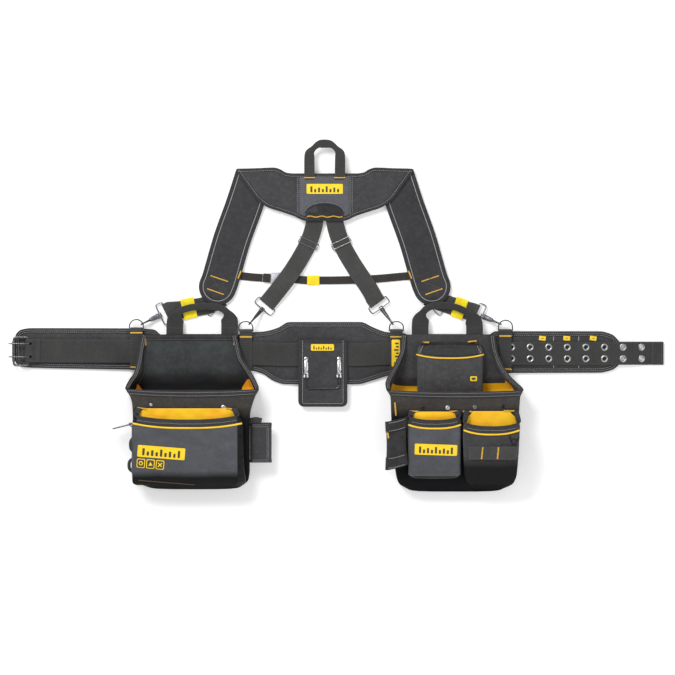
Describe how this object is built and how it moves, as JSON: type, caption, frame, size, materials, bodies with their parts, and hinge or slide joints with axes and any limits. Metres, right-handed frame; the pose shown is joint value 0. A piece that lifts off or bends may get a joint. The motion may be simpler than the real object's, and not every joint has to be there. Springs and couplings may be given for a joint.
{
  "type": "tool belt",
  "caption": "Padded tool belt laid flat, with pouches, hammer holder, roller buckle and padded suspenders hooked to dee rings.",
  "frame": {"origin": "middle of the underside of the belt laid flat on its back", "axes": "+X along the belt towards its free end with the eyelets, +Y up the wearer's back towards the shoulder yoke, +Z away from the floor, out of the front of the pouches"},
  "size_m": [1.4441, 0.7704, 0.1098],
  "materials": {
    "padding": "padded black woven nylon with bound edges",
    "webbing": "ribbed black webbing",
    "pouch_fabric": "black ballistic nylon",
    "grey_panel": "smooth slate-grey coated fabric",
    "yellow_fabric": "yellow stretch webbing",
    "dark_steel": "gunmetal plating",
    "bright_steel": "nickel plating",
    "grey_plastic": "moulded light grey plastic"
  },
  "bodies": {
    "belt": {"padded_belt": "padding", "belt_webbing": "webbing", "ring_keeper_left_front": "webbing", "ring_keeper_left_back": "webbing", "ring_keeper_right_back": "webbing", "ring_keeper_right_front": "webbing"},
    "buckle": {"buckle_frame": "dark_steel"},
    "roller": {"buckle_roller": "dark_steel"},
    "prong_upper": {"buckle_prong_upper": "dark_steel"},
    "prong_lower": {"buckle_prong_lower": "dark_steel"},
    "hammer_holder": {"hammer_panel": "pouch_fabric", "hammer_plate_left": "bright_steel", "hammer_plate_right": "bright_steel"},
    "hammer_loop": {"hammer_wire_loop": "dark_steel"},
    "left_bag": {"left_pouch": "pouch_fabric", "left_front_pocket": "grey_panel", "left_tool_loop": "webbing"},
    "left_carry": {"left_handle": "webbing"},
    "side_ring": {"left_side_ring": "dark_steel"},
    "right_bag": {"right_pouch": "pouch_fabric", "right_inner_pocket": "grey_panel", "right_grey_pocket": "grey_panel", "right_wide_pocket": "pouch_fabric", "right_side_holder": "webbing", "right_bit_band": "webbing"},
    "right_carry": {"right_handle": "webbing"},
    "accessory_ring": {"right_accessory_ring": "dark_steel"},
    "suspenders": {"shoulder_yoke": "padding", "shoulder_pad_left": "padding", "shoulder_pad_right": "padding", "back_strap_left": "webbing", "back_strap_right": "webbing", "front_strap_left": "webbing", "front_strap_right": "webbing", "chest_strap_left": "webbing", "chest_buckle_socket": "grey_plastic", "snap_hook_left_front": "dark_steel", "snap_hook_left_back": "dark_steel", "snap_hook_right_back": "dark_steel", "snap_hook_right_front": "dark_steel", "strap_eye_left_front": "bright_steel", "strap_eye_left_back": "bright_steel", "strap_eye_right_back": "bright_steel", "strap_eye_right_front": "bright_steel"},
    "chest_right": {"chest_buckle_plug": "grey_plastic", "chest_strap_right": "webbing"},
    "chest_slide_keeper": {"chest_keeper": "yellow_fabric"},
    "top_loop": {"hang_loop": "webbing"},
    "adjuster_left": {"back_adjuster_left": "dark_steel"},
    "adjuster_right": {"back_adjuster_right": "dark_steel"},
    "keeper_left": {"front_keeper_left": "yellow_fabric"},
    "keeper_right": {"front_keeper_right": "yellow_fabric"},
    "ring_left_front": {"dee_ring_left_front": "dark_steel"},
    "gate_left_front": {"hook_gate_left_front": "dark_steel"},
    "ring_left_back": {"dee_ring_left_back": "dark_steel"},
    "gate_left_back": {"hook_gate_left_back": "dark_steel"},
    "ring_right_back": {"dee_ring_right_back": "dark_steel"},
    "gate_right_back": {"hook_gate_right_back": "dark_steel"},
    "ring_right_front": {"dee_ring_right_front": "dark_steel"},
    "gate_right_front": {"hook_gate_right_front": "dark_steel"}
  },
  "joints": [
    {"name": "suspenders_fold", "type": "hinge", "parent": "belt", "child": "suspenders", "pos_m": [0, -0.0356, 0.0152], "axis": [1, 0, 0], "range_deg": [0, 100]},
    {"name": "ring_swing_left_front", "type": "hinge", "parent": "belt", "child": "ring_left_front", "pos_m": [-0.4406, -0.0356, 0.0152], "axis": [1, 0, 0], "range_deg": [0, 100]},
    {"name": "ring_swing_left_back", "type": "hinge", "parent": "belt", "child": "ring_left_back", "pos_m": [-0.1994, -0.0356, 0.0152], "axis": [1, 0, 0], "range_deg": [0, 100]},
    {"name": "ring_swing_right_back", "type": "hinge", "parent": "belt", "child": "ring_right_back", "pos_m": [0.1322, -0.0356, 0.0152], "axis": [1, 0, 0], "range_deg": [0, 100]},
    {"name": "ring_swing_right_front", "type": "hinge", "parent": "belt", "child": "ring_right_front", "pos_m": [0.3726, -0.0356, 0.0152], "axis": [1, 0, 0], "range_deg": [0, 100]},
    {"name": "left_pouch_slide", "type": "slide", "parent": "belt", "child": "left_bag", "axis": [1, 0, 0], "range_m": [-0.012, 0]},
    {"name": "right_pouch_slide", "type": "slide", "parent": "belt", "child": "right_bag", "axis": [1, 0, 0], "range_m": [-0.01, 0.01]},
    {"name": "left_handle_swing", "type": "hinge", "parent": "left_bag", "child": "left_carry", "pos_m": [-0.3, -0.0414, 0.0179], "axis": [1, 0, 0], "range_deg": [0, 100]},
    {"name": "right_handle_swing", "type": "hinge", "parent": "right_bag", "child": "right_carry", "pos_m": [0.24, -0.0414, 0.0179], "axis": [1, 0, 0], "range_deg": [0, 100]},
    {"name": "hammer_holder_slide", "type": "slide", "parent": "belt", "child": "hammer_holder", "axis": [1, 0, 0], "range_m": [-0.01, 0.01]},
    {"name": "hammer_loop_swing", "type": "hinge", "parent": "hammer_holder", "child": "hammer_loop", "pos_m": [-0.0304, -0.1356, 0.0219], "axis": [-1, 0, 0], "range_deg": [0, 85]},
    {"name": "buckle_swing", "type": "hinge", "parent": "belt", "child": "buckle", "pos_m": [-0.68, -0.0805, 0.0176], "axis": [0, 1, 0], "range_deg": [0, 50]},
    {"name": "roller_spin", "type": "hinge", "parent": "buckle", "child": "roller", "pos_m": [-0.711, -0.0805, 0.0176], "axis": [0, 1, 0], "continuous": true},
    {"name": "prong_upper_swing", "type": "hinge", "parent": "buckle", "child": "prong_upper", "pos_m": [-0.68, -0.0636, 0.0176], "axis": [0, 1, 0], "range_deg": [0, 40]},
    {"name": "prong_lower_swing", "type": "hinge", "parent": "buckle", "child": "prong_lower", "pos_m": [-0.68, -0.0926, 0.0176], "axis": [0, 1, 0], "range_deg": [0, 40]},
    {"name": "side_ring_swing", "type": "hinge", "parent": "left_bag", "child": "side_ring", "pos_m": [-0.44946, -0.24001, 0.044], "axis": [0, 0, 1], "range_deg": [-25, 25]},
    {"name": "accessory_ring_swing", "type": "hinge", "parent": "right_bag", "child": "accessory_ring", "pos_m": [0.388, -0.266, 0.1086], "axis": [-1, 0, 0], "range_deg": [0, 80]},
    {"name": "hang_loop_swing", "type": "hinge", "parent": "suspenders", "child": "top_loop", "pos_m": [-0.0256, 0.306, 0.02], "axis": [1, 0, 0], "range_deg": [0, 90]},
    {"name": "chest_release", "type": "slide", "parent": "suspenders", "child": "chest_right", "axis": [1, 0, 0], "range_m": [0, 0.03]},
    {"name": "chest_keeper_slide", "type": "slide", "parent": "chest_right", "child": "chest_slide_keeper", "axis": [1, 0, 0], "range_m": [-0.008, 0.008]},
    {"name": "adjuster_left_slide", "type": "slide", "parent": "suspenders", "child": "adjuster_left", "axis": [-0.421, -0.9071, 0], "range_m": [-0.003, 0.003]},
    {"name": "adjuster_right_slide", "type": "slide", "parent": "suspenders", "child": "adjuster_right", "axis": [0.421, -0.9071, 0], "range_m": [-0.003, 0.003]},
    {"name": "front_keeper_left_slide", "type": "slide", "parent": "suspenders", "child": "keeper_left", "axis": [-0.9874, -0.1581, 0], "range_m": [-0.006, 0.006]},
    {"name": "front_keeper_right_slide", "type": "slide", "parent": "suspenders", "child": "keeper_right", "axis": [0.9896, -0.1439, 0], "range_m": [-0.006, 0.0005]},
    {"name": "gate_press_left_front", "type": "hinge", "parent": "suspenders", "child": "gate_left_front", "pos_m": [-0.41108, -0.01154, 0.01597], "axis": [0.4392, -0.8984, 0], "range_deg": [0, 20], "stiffness_Nm_per_rad": 0.05},
    {"name": "gate_press_left_back", "type": "hinge", "parent": "suspenders", "child": "gate_left_back", "pos_m": [-0.17868, -0.00508, 0.0228], "axis": [0.76, -0.65, 0], "range_deg": [0, 20], "stiffness_Nm_per_rad": 0.05},
    {"name": "gate_press_right_back", "type": "hinge", "parent": "suspenders", "child": "gate_right_back", "pos_m": [0.11261, -0.00419, 0.0228], "axis": [0.8131, 0.5822, 0], "range_deg": [0, 20], "stiffness_Nm_per_rad": 0.05},
    {"name": "gate_press_right_front", "type": "hinge", "parent": "suspenders", "child": "gate_right_front", "pos_m": [0.34463, -0.01051, 0.01844], "axis": [0.5101, 0.8601, 0], "range_deg": [0, 20], "stiffness_Nm_per_rad": 0.05}
  ],
  "couplings": [
    {"joint": "ring_swing_left_front", "follows": "suspenders_fold", "ratio": 1},
    {"joint": "ring_swing_left_back", "follows": "suspenders_fold", "ratio": 1},
    {"joint": "ring_swing_right_back", "follows": "suspenders_fold", "ratio": 1},
    {"joint": "ring_swing_right_front", "follows": "suspenders_fold", "ratio": 1},
    {"joint": "left_handle_swing", "follows": "suspenders_fold", "ratio": 1},
    {"joint": "right_handle_swing", "follows": "suspenders_fold", "ratio": 1}
  ]
}
